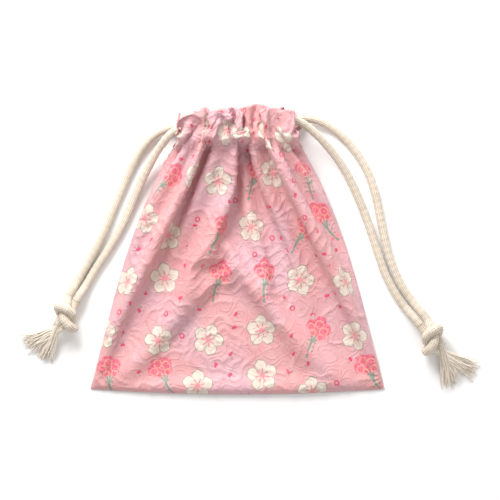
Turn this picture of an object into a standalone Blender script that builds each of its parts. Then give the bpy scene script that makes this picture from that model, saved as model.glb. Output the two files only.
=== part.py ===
"""A small drawstring pouch, drawn shut and lying flat on its back.

Two cloth panels meet at the side and bottom seams. Each panel's top edge is folded
inwards as a casing, and both casings hold two cords. The left cord comes out of both
casings on the left and the right cord on the right, so that pulling the two knots
apart gathers the mouth. Units are metres, +Z is up, +Y points to the mouth and the
origin is under the middle of the cloth, on the surface that the pouch lies on.
"""

import math

import bmesh
import bpy
from mathutils import Vector

# Cloth, laid out with y measured from the bottom corners
BOTTOM_HALF_WIDTH = 0.080
MOUTH_HALF_WIDTH = 0.027
STITCH_Y = 0.126  # the row of stitches that closes the casing
TOP_Y = 0.152
BOTTOM_BOW = 0.003  # the bottom seam's middle hangs this far past its corners
Y_SHIFT = -(TOP_Y - BOTTOM_BOW) / 2  # puts the origin under the middle of the cloth
CLOTH = 0.0008
SEAM_GAP = 0.0003
CROWN_BULGE = 0.012  # how far the front swells past a straight line to the casing
CROWN_ROUNDNESS = 0.65  # the lower, the fuller the front's section

# Cords and the casings round them
CORD_DIAMETER = 0.0045
CORD_CLEARANCE = 0.0004
MOUTH_GAP = 0.005  # between the two casings
GATHER_DEPTH = 0.0016
GATHERS = 7  # crests across each panel
CASING_HALF = CORD_DIAMETER / 2 + CORD_CLEARANCE + CLOTH
BACK_CASING_Z = GATHER_DEPTH + CASING_HALF
FRONT_CASING_Z = BACK_CASING_Z + 2 * CASING_HALF + MOUTH_GAP
MOUTH_Z = (BACK_CASING_Z + FRONT_CASING_Z) / 2
SEAM_HALF = CLOTH + SEAM_GAP / 2
SLIT_START = 0.86  # share of the side above which front and back aren't sewn together

# Mesh counts
COLUMNS = 5 * GATHERS
BODY_ROWS = 12
CORD_STEP = 0.0052
CORD_SIDES_RESOLUTION = 2

# Knots and frayed ends
KNOT_LENGTH = 0.0135
KNOT_RADIUS = 0.0068
KNOT_Z = KNOT_RADIUS
KNOT_STEPS = 16
FRAY_HALF_WIDTH = 0.0052
FRAY_HALF_HEIGHT = 0.0022
FRAY_SIDES = 12
FRAY_START_RADIUS = 0.0016
KNOT_TO_FRAY = 0.0012

# Routes, as (x, y from the bottom corners, height) in millimetres, from knot to knot
FRONT_Z = FRONT_CASING_Z * 1000
BACK_Z = BACK_CASING_Z * 1000
FLOOR_Z = CORD_DIAMETER * 500 + 0.05
KNOT_ENTRY_Z = 5.8
LEFT_ROUTE = [
    (-92.0, 49.6, KNOT_ENTRY_Z), (-90.1, 53.3, 5.5), (-87.4, 58.6, 3.0), (-82.4, 67.2, FLOOR_Z),
    (-76.2, 78.6, FLOOR_Z), (-71.6, 88.4, FLOOR_Z), (-67.4, 98.8, FLOOR_Z), (-60.6, 115.0, FLOOR_Z),
    (-54.4, 128.0, 2.6), (-46.8, 137.2, 3.2), (-37.6, 141.8, 4.3), (-28.5, 141.9, BACK_Z),
    (-20.0, 141.5, BACK_Z), (0.0, 140.2, BACK_Z),
    (18.0, 139.0, BACK_Z), (26.6, 138.5, BACK_Z), (31.4, 138.5, 6.9), (33.4, 138.5, 11.0),
    (31.4, 138.5, 15.1), (26.6, 138.5, FRONT_Z), (18.0, 139.0, FRONT_Z), (0.0, 140.2, FRONT_Z),
    (-20.0, 141.5, FRONT_Z), (-28.0, 141.4, 16.6), (-35.4, 138.2, 14.4), (-41.6, 131.6, 10.4),
    (-48.4, 120.6, 6.0), (-55.0, 107.0, 3.2), (-62.6, 89.4, FLOOR_Z), (-70.6, 75.4, FLOOR_Z),
    (-77.6, 64.6, FLOOR_Z), (-82.8, 55.6, 3.0), (-85.6, 51.1, 5.5), (-87.5, 47.3, KNOT_ENTRY_Z),
]
RIGHT_ROUTE = [
    (103.1, 37.3, KNOT_ENTRY_Z), (100.5, 40.8, 5.5), (95.4, 47.2, 3.0), (89.6, 55.6, FLOOR_Z),
    (84.9, 65.4, FLOOR_Z), (81.6, 75.6, FLOOR_Z), (78.8, 88.0, FLOOR_Z), (76.6, 99.4, FLOOR_Z),
    (74.2, 109.4, FLOOR_Z),
    (70.4, 119.4, FLOOR_Z), (65.2, 128.4, 2.4), (58.6, 136.4, 2.7), (51.4, 142.4, 3.2),
    (43.8, 146.2, 3.9), (35.6, 147.4, 4.8), (27.5, 146.0, BACK_Z), (18.0, 145.8, BACK_Z),
    (0.0, 146.4, BACK_Z), (-18.0, 147.0, BACK_Z), (-26.6, 147.2, BACK_Z), (-31.4, 147.2, 6.9),
    (-33.4, 147.2, 11.0), (-31.4, 147.2, 15.1), (-26.6, 147.2, FRONT_Z), (-18.0, 147.0, FRONT_Z),
    (0.0, 146.4, FRONT_Z), (18.0, 145.8, FRONT_Z), (27.0, 145.6, 16.8), (35.4, 143.2, 15.4),
    (43.4, 137.0, 12.4), (51.0, 129.0, 8.8), (57.8, 119.8, 5.6), (63.6, 108.8, 3.3),
    (68.2, 98.0, FLOOR_Z), (72.4, 86.4, FLOOR_Z), (76.4, 74.0, FLOOR_Z), (80.4, 62.6, FLOOR_Z),
    (85.6, 52.4, FLOOR_Z), (91.4, 44.0, 3.0), (96.6, 37.8, 5.5), (99.1, 34.4, KNOT_ENTRY_Z),
]
# Each side's knot: its middle, the way the cord runs on through it, and where each end lies
KNOTS = {
    "left": {"middle": (-93.3, 41.6), "runs_to": (-97.9, 33.4), "ends": [(-113.6, 24.6), (-104.6, 17.6)]},
    "right": {"middle": (105.6, 29.6), "runs_to": (111.1, 22.0), "ends": [(127.0, 10.6), (115.6, 4.0)]},
}


def smooth(low, high, value):
    """0 below low, 1 above high, and an even S between them."""
    t = min(1.0, max(0.0, (value - low) / (high - low)))
    return t * t * (3 - 2 * t)


def mix(a, b, t):
    return a + (b - a) * t


def place(point):
    """A route's point, in millimetres from the bottom corners, in the object's own frame."""
    return Vector((point[0] / 1000, point[1] / 1000 + Y_SHIFT, point[2] / 1000))


def side_point(t):
    """The half width and y of the side seam, from the bottom corner at t 0 to the casing at t 1."""
    corner = Vector((BOTTOM_HALF_WIDTH, 0))
    lower_pull = Vector((0.0675, 0.048))
    upper_pull = Vector((0.0580, 0.096))
    neck = Vector((MOUTH_HALF_WIDTH, STITCH_Y))
    s = 1 - t
    return s**3 * corner + 3 * s * s * t * lower_pull + 3 * s * t * t * upper_pull + t**3 * neck


def gather(u):
    """1 on the crest of a gather and 0 between two, from side to side as u goes from -1 to 1."""
    return 0.5 + 0.5 * math.cos(math.pi * GATHERS * u)


def body_point(u, t, front):
    """A point of a panel's outer face below the casing."""
    half_width, y = side_point(t)
    y -= BOTTOM_BOW * (1 - u * u) * (1 - t) ** 2
    seam = mix(SEAM_HALF, MOUTH_Z, t * t)
    depth = GATHER_DEPTH * smooth(0.55, 1.0, t) * gather(u)
    open_slit = smooth(SLIT_START, 1.0, t)
    stitched = CASING_HALF - GATHER_DEPTH / 2
    if front:
        top = FRONT_CASING_Z + stitched
        middle = mix(2 * SEAM_HALF, top, t) + CROWN_BULGE * math.sin(math.pi * t) ** 0.8
        edge = mix(seam + SEAM_HALF, top, open_slit)
        z = mix(edge, middle, max(0.0, math.cos(math.pi / 2 * u)) ** CROWN_ROUNDNESS) + depth
    else:
        low = BACK_CASING_Z - stitched
        middle = low * smooth(0.7, 1.0, t)
        edge = mix(seam - SEAM_HALF, low, open_slit)
        z = mix(middle, edge, smooth(0.5, 1.0, abs(u))) - depth
    return Vector((u * half_width, y, max(z, 0.0)))


def casing_section():
    """The casing's outline as (y, height over its middle, share of the gather depth), from stitches to stitches."""
    crest_y = TOP_Y - CASING_HALF
    flat_y = STITCH_Y + 0.010
    inner_end = CASING_HALF - GATHER_DEPTH / 2 - 2 * CLOTH - SEAM_GAP
    section = [
        (mix(STITCH_Y, flat_y, 0.5), CASING_HALF - GATHER_DEPTH / 4, 1.0),
        (flat_y, CASING_HALF, 1.0),
        (mix(flat_y, crest_y, 0.5), CASING_HALF, 1.0),
    ]
    for degrees in (90, 60, 30, 0, -30, -60, -90):
        angle = math.radians(degrees)
        bulge = max(0.0, math.sin(angle))
        section.append((crest_y + CASING_HALF * math.cos(angle), CASING_HALF * math.sin(angle), bulge))
    section += [
        (mix(flat_y, crest_y, 0.5), -CASING_HALF, 0.0),
        (flat_y, -CASING_HALF, 0.0),
        (STITCH_Y + 0.001, inner_end, 0.0),
    ]
    return section


def casing_point(u, station, front):
    """A point of a casing's outer face. The front casing bulges up and the back casing down."""
    y, height, share = station
    height += share * GATHER_DEPTH * gather(u)
    z = FRONT_CASING_Z + height if front else BACK_CASING_Z - height
    return Vector((u * MOUTH_HALF_WIDTH, y, z))


def material(name, colour, roughness):
    made = bpy.data.materials.new(name)
    made.use_nodes = True
    shader = made.node_tree.nodes["Principled BSDF"]
    shader.inputs["Base Color"].default_value = (*colour, 1.0)
    shader.inputs["Roughness"].default_value = roughness
    shader.inputs["Metallic"].default_value = 0.0
    return made


def link(obj, collection, finish):
    """Moves a new object into the pouch's collection and gives it its material."""
    for other in list(obj.users_collection):
        other.objects.unlink(obj)
    collection.objects.link(obj)
    obj.data.materials.clear()
    obj.data.materials.append(finish)
    return obj


def panel(name, front, collection, finish):
    """A cloth panel: a grid drawn over the body and the casing's fold, then given its thickness."""
    section = casing_section()
    rows = BODY_ROWS + len(section)
    bpy.ops.mesh.primitive_grid_add(x_subdivisions=COLUMNS, y_subdivisions=rows, size=2)
    obj = bpy.context.active_object
    obj.name = name
    for vertex in obj.data.vertices:
        u = vertex.co.x
        row = round((vertex.co.y + 1) / 2 * rows)
        if row <= BODY_ROWS:
            point = body_point(u, row / BODY_ROWS, front)
        else:
            point = casing_point(u, section[row - BODY_ROWS - 1], front)
        vertex.co = point + Vector((0, Y_SHIFT, 0))
    if not front:
        obj.data.flip_normals()
    thickness = obj.modifiers.new("cloth", "SOLIDIFY")
    thickness.thickness = CLOTH
    thickness.offset = -1
    obj.data.shade_smooth()
    return link(obj, collection, finish)


def curve_through(points, step):
    """Points about a step apart on a centripetal Catmull-Rom curve through the given ones."""
    ends = [2 * points[0] - points[1], *points, 2 * points[-1] - points[-2]]
    fine = [points[0]]
    for a, b, c, d in zip(ends, ends[1:], ends[2:], ends[3:]):
        t1 = (b - a).length ** 0.5
        t2 = t1 + (c - b).length ** 0.5
        t3 = t2 + (d - c).length ** 0.5
        for k in range(1, 13):
            t = mix(t1, t2, k / 12)
            ab = a.lerp(b, t / t1)
            bc = b.lerp(c, (t - t1) / (t2 - t1))
            cd = c.lerp(d, (t - t2) / (t3 - t2))
            abc = ab.lerp(bc, t / t2)
            bcd = bc.lerp(cd, (t - t1) / (t3 - t1))
            fine.append(abc.lerp(bcd, (t - t1) / (t2 - t1)))
    along = [0.0]
    for a, b in zip(fine, fine[1:]):
        along.append(along[-1] + (b - a).length)
    count = round(along[-1] / step)
    spaced = []
    i = 0
    for k in range(count + 1):
        wanted = along[-1] * k / count
        while i < len(fine) - 2 and along[i + 1] < wanted:
            i += 1
        share = (wanted - along[i]) / (along[i + 1] - along[i])
        spaced.append(fine[i].lerp(fine[i + 1], share))
    return spaced


def cord(name, route, collection, finish):
    """One whole cord from knot to knot, as a tube along its route through both casings."""
    points = curve_through([place(p) for p in route], CORD_STEP)
    data = bpy.data.curves.new(name, "CURVE")
    data.dimensions = "3D"
    data.bevel_depth = CORD_DIAMETER / 2
    data.bevel_resolution = CORD_SIDES_RESOLUTION
    data.use_fill_caps = True
    spline = data.splines.new("POLY")
    spline.points.add(len(points) - 1)
    for target, point in zip(spline.points, points):
        target.co = (*point, 1)
    obj = bpy.data.objects.new(name, data)
    collection.objects.link(obj)
    data.materials.append(finish)
    return obj


def knot(name, facts, collection, finish):
    """An overhand knot's outer shape: two round wraps side by side, turned about the cord's own line."""
    profile = [(0.0, 0.72), (0.08, 0.88), (0.26, 1.0), (0.42, 0.97), (0.5, 0.90), (0.58, 0.97), (0.74, 1.0),
               (0.92, 0.88), (1.0, 0.72)]
    half = KNOT_LENGTH / 2
    mesh = bpy.data.meshes.new(name)
    shape = bmesh.new()
    line = [shape.verts.new((0, 0, half))]
    line += [shape.verts.new((KNOT_RADIUS * r, 0, half - KNOT_LENGTH * share)) for share, r in profile]
    line.append(shape.verts.new((0, 0, -half)))
    for a, b in zip(line, line[1:]):
        shape.edges.new((a, b))
    shape.to_mesh(mesh)
    shape.free()
    obj = bpy.data.objects.new(name, mesh)
    turn = obj.modifiers.new("turn", "SCREW")
    turn.steps = KNOT_STEPS
    turn.render_steps = KNOT_STEPS
    turn.use_merge_vertices = True
    turn.merge_threshold = 0.00005
    runs = (Vector(facts["runs_to"]) - Vector(facts["middle"])).to_3d()
    obj.rotation_euler = runs.to_track_quat("Z", "Y").to_euler()
    obj.location = place((*facts["middle"], KNOT_Z * 1000))
    collection.objects.link(obj)
    mesh.materials.append(finish)
    return obj


def frayed_end(name, facts, index, collection, finish):
    """A cord's end past the knot: round where it leaves the knot, and a flat fan where it's unravelled."""
    middle = Vector(facts["middle"])
    tip = Vector(facts["ends"][index])
    along = (tip - middle).normalized()
    start = middle + along * 1000 * (KNOT_LENGTH / 2 + KNOT_TO_FRAY)
    length = (tip - start).length / 1000
    bpy.ops.mesh.primitive_cone_add(
        vertices=FRAY_SIDES, radius1=FRAY_START_RADIUS, radius2=FRAY_HALF_WIDTH, depth=length
    )
    obj = bpy.context.active_object
    obj.name = name
    across = Vector((-along.y, along.x, 0))
    drop_from = CORD_DIAMETER * 0.5
    for vertex in obj.data.vertices:
        share = vertex.co.z / length + 0.5
        flat = mix(1.0, FRAY_HALF_HEIGHT / FRAY_HALF_WIDTH, share)
        height = mix(drop_from + 0.0006, FRAY_HALF_HEIGHT, share) + vertex.co.y * flat
        lies = place((*start, 0)) + along.to_3d() * length * share + across * vertex.co.x
        vertex.co = Vector((lies.x, lies.y, height))
    shape = bmesh.new()
    shape.from_mesh(obj.data)
    bmesh.ops.recalc_face_normals(shape, faces=shape.faces)
    shape.to_mesh(obj.data)
    shape.free()
    return link(obj, collection, finish)


def main():
    for obj in list(bpy.data.objects):
        bpy.data.objects.remove(obj)
    pouch = bpy.data.collections.new("drawstring_pouch")
    bpy.context.scene.collection.children.link(pouch)
    printed_cloth = material("printed_cloth", (0.86, 0.48, 0.52), 0.75)
    cotton_cord = material("cotton_cord", (0.80, 0.70, 0.56), 0.85)
    panel("front_panel", True, pouch, printed_cloth)
    panel("back_panel", False, pouch, printed_cloth)
    cord("left_cord", LEFT_ROUTE, pouch, cotton_cord)
    cord("right_cord", RIGHT_ROUTE, pouch, cotton_cord)
    for side, facts in KNOTS.items():
        knot(f"{side}_knot", facts, pouch, cotton_cord)
        for index, letter in enumerate("ab"):
            frayed_end(f"{side}_frayed_end_{letter}", facts, index, pouch, cotton_cord)


main()
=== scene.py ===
import math

import bpy
import numpy as np
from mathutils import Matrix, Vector


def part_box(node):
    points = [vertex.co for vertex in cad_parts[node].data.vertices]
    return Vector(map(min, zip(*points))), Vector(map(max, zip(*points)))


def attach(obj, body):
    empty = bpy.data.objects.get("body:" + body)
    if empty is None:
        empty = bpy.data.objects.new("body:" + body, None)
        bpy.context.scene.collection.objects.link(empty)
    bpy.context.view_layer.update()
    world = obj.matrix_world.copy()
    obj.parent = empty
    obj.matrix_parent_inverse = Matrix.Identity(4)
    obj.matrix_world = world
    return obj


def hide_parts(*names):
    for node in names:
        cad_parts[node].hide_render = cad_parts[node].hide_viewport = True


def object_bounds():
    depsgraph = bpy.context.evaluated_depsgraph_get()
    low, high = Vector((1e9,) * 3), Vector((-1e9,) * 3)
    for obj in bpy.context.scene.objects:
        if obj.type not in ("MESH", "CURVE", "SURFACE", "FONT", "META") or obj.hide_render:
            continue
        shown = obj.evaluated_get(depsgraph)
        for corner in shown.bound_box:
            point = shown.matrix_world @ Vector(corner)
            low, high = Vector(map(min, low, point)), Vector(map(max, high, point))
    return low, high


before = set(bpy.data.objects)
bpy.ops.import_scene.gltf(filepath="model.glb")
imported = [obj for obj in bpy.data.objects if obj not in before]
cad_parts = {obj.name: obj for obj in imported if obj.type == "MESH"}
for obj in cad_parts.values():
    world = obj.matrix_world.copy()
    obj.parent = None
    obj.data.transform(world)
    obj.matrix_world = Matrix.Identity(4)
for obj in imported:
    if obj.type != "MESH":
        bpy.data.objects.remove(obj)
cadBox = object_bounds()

mm = 0.001
fullTurn = 2 * math.pi
panelLow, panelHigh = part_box("front_panel")
halfWidth = panelHigh[0]
bottomBow = 3 * mm  # the bottom seam hangs this far below its two corners
bottomY = panelLow[1] + bottomBow


# ---- a value in a node tree, so that shader and shape maths reads as plain maths
class Wire:
    def __init__(self, tree, socket=None):
        self.tree = tree
        self.socket = socket

    def node(self, kind, settings=None, sockets=None, out=0):
        made = self.tree.nodes.new(kind)
        for name, value in (settings or {}).items():
            setattr(made, name, value)
        self.feed(made, sockets or {})
        return Wire(self.tree, made.outputs[out])

    def feed(self, node, sockets):  # a wire is linked, anything else is set
        for name, value in sockets.items():
            if isinstance(value, Wire):
                self.tree.links.new(value.socket, node.inputs[name])
            else:
                node.inputs[name].default_value = value

    def maths(self, operation, *values):
        return self.node("ShaderNodeMath", {"operation": operation}, dict(enumerate(values)))

    def sine(self):
        return self.maths("SINE", self)

    def cosine(self):
        return self.maths("COSINE", self)

    def root(self):
        return self.maths("SQRT", self)

    def orMore(self, other):  # the higher of two values
        return self.maths("MAXIMUM", self, other)

    def vector(self, operation, *others, out=0):
        settings = {"operation": operation}
        return self.node("ShaderNodeVectorMath", settings, dict(enumerate((self, *others))), out)

    def length(self):
        return self.vector("LENGTH", out=1)

    def scaled(self, by):
        return self.node("ShaderNodeVectorMath", {"operation": "SCALE"}, {0: self, 3: by})

    def part(self, axis):
        return self.node("ShaderNodeSeparateXYZ", None, {0: self}, axis)

    def joined(self, y, z=0.0):  # a vector with this value as its x
        return self.node("ShaderNodeCombineXYZ", None, {0: self, 1: y, 2: z})

    def step(self, low, high):  # 0 below low, 1 above high, smooth between
        settings = {"interpolation_type": "SMOOTHSTEP"}
        return self.node("ShaderNodeMapRange", settings, {0: self, 1: low, 2: high, 3: 0.0, 4: 1.0})

    def noise(self, scale, detail, roughness=0.5, out=0):
        sockets = {"Vector": self, "Scale": scale, "Detail": detail, "Roughness": roughness}
        return self.node("ShaderNodeTexNoise", None, sockets, out)

    def tint(self, share, first, second):
        first = (*first, 1.0) if isinstance(first, tuple) else first
        second = (*second, 1.0) if isinstance(second, tuple) else second
        return self.node("ShaderNodeMix", {"data_type": "RGBA"}, {0: share, 6: first, 7: second}, 2)

    def __abs__(self):
        return self.maths("ABSOLUTE", self)

    def __add__(self, other):
        return self.maths("ADD", self, other)

    __radd__ = __add__

    def __sub__(self, other):
        return self.maths("SUBTRACT", self, other)

    def __rsub__(self, other):
        return self.maths("SUBTRACT", other, self)

    def __mul__(self, other):
        return self.maths("MULTIPLY", self, other)

    __rmul__ = __mul__

    def __truediv__(self, other):
        return self.maths("DIVIDE", self, other)

    def __pow__(self, other):
        return self.maths("POWER", self, other)


def link(piece):
    bpy.context.scene.collection.objects.link(piece)
    return piece


def smooth(low, high, value):
    t = np.clip((value - low) / (high - low), 0.0, 1.0)
    return t * t * (3 - 2 * t)


def blankMaterial(name):  # a new material, its tree and its shader
    made = bpy.data.materials.new(name)
    made.use_nodes = True
    return made, Wire(made.node_tree), made.node_tree.nodes["Principled BSDF"]


def applied(piece):  # the piece with its modifiers made real
    mesh = bpy.data.meshes.new_from_object(piece.evaluated_get(bpy.context.evaluated_depsgraph_get()))
    piece.modifiers.clear()
    piece.vertex_groups.clear()
    piece.data = mesh
    return piece


def shapeTree(name, inputs):  # a node group that gives a shape, and its inputs by name
    tree = bpy.data.node_groups.new(name, "GeometryNodeTree")
    tree.interface.new_socket("Geometry", in_out="OUTPUT", socket_type="NodeSocketGeometry")
    for label, kind in inputs.items():
        tree.interface.new_socket(label, in_out="INPUT", socket_type=f"NodeSocket{kind}")
    entry = tree.nodes.new("NodeGroupInput")
    return Wire(tree), {socket.name: Wire(tree, socket) for socket in entry.outputs if socket.name}


def sendOut(w, shape, finish):  # the end of such a group: copies made real, with their material
    real = w.node("GeometryNodeRealizeInstances", None, {0: shape})
    coloured = w.node("GeometryNodeSetMaterial", None, {"Geometry": real, "Material": finish})
    w.feed(w.tree.nodes.new("NodeGroupOutput"), {0: coloured})
    return w.tree


def grown(name, points, edges, tree, wanted):  # what a node group makes of some points, as a plain mesh
    mesh = bpy.data.meshes.new(name)
    mesh.from_pydata(points, edges, [])
    piece = link(bpy.data.objects.new(name, mesh))
    modifier = piece.modifiers.new(tree.name, "NODES")
    modifier.node_group = tree
    for socket in tree.interface.items_tree:
        if socket.in_out == "INPUT" and socket.name in wanted:
            modifier[socket.identifier] = wanted[socket.name]
    bpy.context.view_layer.update()
    piece = applied(piece)
    piece.data.shade_smooth()
    return piece


# ---- camera, floor and light
view = {"elevation": 87.5, "lens": 150.0, "frameWidth": 0.272, "sensor": 36.0, "rise": 0.004, "shiftY": 0.001}


def setCamera():
    middle = (cadBox[0] + cadBox[1]) / 2
    target = Vector((middle[0], middle[1] + view["shiftY"], view["rise"]))
    angle = math.radians(view["elevation"])
    toCamera = Vector((0, -math.cos(angle), math.sin(angle)))
    camera = link(bpy.data.objects.new("camera", bpy.data.cameras.new("camera")))
    camera.data.lens = view["lens"]
    camera.data.sensor_width = view["sensor"]
    camera.location = target + toCamera * view["frameWidth"] * view["lens"] / view["sensor"]
    camera.rotation_euler = toCamera.to_track_quat("Z", "Y").to_euler()
    bpy.context.scene.camera = camera


studio = {
    "floor": {"size": 6.0, "colour": (0.93, 0.925, 0.92), "roughness": 0.6},
    "world": {"colour": (1.0, 0.985, 0.975), "strength": 0.50},
    "key": {"at": (-0.24, 0.46, 0.44), "size": 0.32, "power": 4.8},
    "rake": {"at": (0.04, 0.80, 0.32), "size": 0.45, "power": 4.6},
    "fill": {"at": (0.60, -0.55, 1.1), "size": 1.2, "power": 4.0},
}


def setStudio():
    bpy.ops.mesh.primitive_plane_add(size=studio["floor"]["size"])
    floor = bpy.context.active_object
    floor.name = "floor"
    paper, w, shader = blankMaterial("floorPaper")
    colour = (*studio["floor"]["colour"], 1.0)
    w.feed(shader, {"Base Color": colour, "Roughness": studio["floor"]["roughness"]})
    floor.data.materials.append(paper)
    world = bpy.data.worlds.new("studio")
    world.use_nodes = True
    colour = (*studio["world"]["colour"], 1.0)
    light = {"Color": colour, "Strength": studio["world"]["strength"]}
    Wire(world.node_tree).feed(world.node_tree.nodes["Background"], light)
    bpy.context.scene.world = world
    for name in ("key", "rake", "fill"):
        lamp = bpy.data.lights.new(name, "AREA")
        lamp.energy = studio[name]["power"]
        lamp.size = studio[name]["size"]
        holder = link(bpy.data.objects.new(name, lamp))
        holder.location = studio[name]["at"]
        holder.rotation_euler = Vector(studio[name]["at"]).to_track_quat("Z", "Y").to_euler()
    bpy.context.scene.view_settings.view_transform = "Standard"
    print("studio set")


# ---- printed cloth: the finish, with its motifs in the cloth's own millimetres
cloth = {
    "salmon": (0.70, 0.330, 0.335), "lilac": (0.66, 0.385, 0.425), "pale": (0.76, 0.47, 0.475),
    "cream": (0.76, 0.67, 0.58), "creamShade": (0.62, 0.50, 0.42), "outline": (0.36, 0.25, 0.20),
    "rose": (0.70, 0.055, 0.135), "roseLight": (0.85, 0.23, 0.29), "blush": (0.86, 0.42, 0.30),
    "stem": (0.16, 0.30, 0.22), "leaf": (0.22, 0.27, 0.22),
    "uvSpan": 200.0, "backShift": 97.0, "wobble": 0.9, "bigCell": 28.5, "bigRandom": 0.42,
    "smallCell": 10.5, "smallRandom": 0.9, "bunchShare": 0.66, "budsFrom": 0.22, "ringsFrom": 0.74,
    "sureStep": 0.01, "anyTurn": 6.28, "bunchTurn": 1.7, "roughness": 0.62, "creaseGloss": 0.12, "sheen": 0.25,
    "sheenRoughness": 0.4, "specular": 0.45, "bump": 0.9 * mm, "bumpStrength": 0.7,
}
blossomPrint = {
    "radius": 8.6, "petals": 5, "notch": 0.44, "ripple": 0.16, "line": (0.16, 0.46), "heart": (1.25, 1.75),
    "stamens": 7, "stamenFrom": (1.2, 1.9), "stamenTo": (3.4, 4.3),
}
bunchPrint = {
    "heads": ((-3.7, 6.2, 3.3), (3.5, 6.6, 3.5), (-0.2, 9.4, 3.4), (-1.9, 3.6, 2.6), (3.0, 2.9, 2.7)),
    "bow": ((-1.5, -8.9, 1.15), (1.7, -9.3, 1.05)), "stemLeans": (-0.30, 0.02, 0.34), "stemFoot": 4.0,
    "leafOut": 1.9, "leafWave": 2.4,
}
smallPrint = {
    "bud": ((-0.45, 0.2, 0.95), (0.55, 0.35, 0.8)), "leaf": ((-0.9, -1.6, 0.42), (1.4, -1.1, 0.45)),
    "ring": 1.15, "clearOf": (12.2, 12.6),
}


def nearestMotif(soft, size, randomness):  # its own millimetres, and three random shares
    settings = {"voronoi_dimensions": "2D", "feature": "F1"}
    sockets = {"Vector": soft.scaled(1 / size), "Scale": 1.0, "Randomness": randomness}
    tile = soft.node("ShaderNodeTexVoronoi", settings, sockets, 1)
    centre = Wire(tile.tree, tile.socket.node.outputs["Position"])
    return soft.vector("SUBTRACT", centre.scaled(size)), [tile.part(axis) for axis in range(3)]


def turned(local, angle):
    x, y = local.part(0), local.part(1)
    c, s = angle.cosine(), angle.sine()
    return x * c + y * s, y * c - x * s


def band(value, low, high):  # 1 between the two soft edges
    return value.step(*low) * (1 - value.step(*high))


def disc(x, y, cx, cy, radius):
    gap = (x - cx).joined(y - cy).length() - radius
    return 1 - gap.step(-0.25, 0.25)


def discs(x, y, places):
    made = None
    for spot in places:
        made = disc(x, y, *spot) if made is None else made.orMore(disc(x, y, *spot))
    return made


def blossomMasks(x, y, chance):  # petals, how far out on them, their outline, creases, stamens and heart
    radius = x.joined(y).length()
    angle = x.maths("ARCTAN2", y, x) + chance * cloth["anyTurn"]
    lobe = abs((angle * (blossomPrint["petals"] / 2)).cosine())
    notch = blossomPrint["notch"]
    rim = blossomPrint["radius"] * (1 - notch + notch * lobe ** 0.55)
    rim = rim + (angle * (3.0 * blossomPrint["petals"])).sine() * blossomPrint["ripple"]
    petals = 1 - (radius - rim).step(-0.15, 0.25)
    outline = 1 - abs(radius - rim + 0.25).step(*blossomPrint["line"])
    creases = (1 - lobe.step(0.05, 0.20)) * radius.step(2.4, 3.6) * (1 - (radius - rim).step(-1.4, -0.2))
    stamens = (angle * float(blossomPrint["stamens"])).cosine().step(0.55, 0.95)
    stamens = stamens * band(radius, blossomPrint["stamenFrom"], blossomPrint["stamenTo"])
    heart = 1 - radius.step(*blossomPrint["heart"])
    return petals, (radius / rim).step(0.15, 0.85), outline, creases, stamens, heart


def bunchMasks(x, y):  # round heads, the rings on them, stems, leaflets and the bow that ties them
    rings = None
    for cx, cy, size in bunchPrint["heads"]:
        distance = (x - cx).joined(y - cy + size * 0.35).length()
        ring = (1 - abs(distance - size * 0.62).step(0.1, 0.55)) * disc(x, y, cx, cy, size)
        rings = ring if rings is None else rings.orMore(ring)
    bend = (y * 0.32).sine() * 0.7
    stems = (1 - abs(x - bend).step(0.45, 0.85)) * band(y, (-12.0, -11.2), (-4.0, -3.2))
    for lean in bunchPrint["stemLeans"]:
        away = abs(x - bend - (y + bunchPrint["stemFoot"]) * lean)
        stems = stems.orMore((1 - away.step(0.28, 0.62)) * band(y, (-4.4, -3.8), (4.5, 6.0)))
    leafX = abs(abs(x - bend) - bunchPrint["leafOut"])
    leafRow = (y * bunchPrint["leafWave"]).sine().step(0.35, 0.8)
    leaflets = (1 - leafX.step(0.35, 0.75)) * leafRow * band(y, (-8.0, -7.4), (2.4, 3.0))
    return discs(x, y, bunchPrint["heads"]), rings, stems, leaflets, discs(x, y, bunchPrint["bow"])


def clothRelief(uv):  # weave, fine crinkle and the embossed lines that are finer than the mesh
    crinkle = uv.noise(0.55, 4.0, 0.6)
    weave = (uv.part(0) * 11.0).sine() * (uv.part(1) * 11.0).sine()
    bent = {"Vector": uv.vector("ADD", uv.noise(0.11, 1.0, out=1).scaled(7.0)), "Scale": 0.09}
    settings = {"voronoi_dimensions": "2D", "feature": "DISTANCE_TO_EDGE"}
    edges = uv.node("ShaderNodeTexVoronoi", settings, bent)
    settings = {"voronoi_dimensions": "2D", "feature": "F1"}
    rings = (uv.node("ShaderNodeTexVoronoi", settings, bent) * 17.0).cosine().step(0.55, 0.95)
    lines = (1 - edges.step(0.01, 0.06)).orMore(rings)
    return crinkle, crinkle * 0.40 + weave * 0.03 + lines * 0.24


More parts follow.
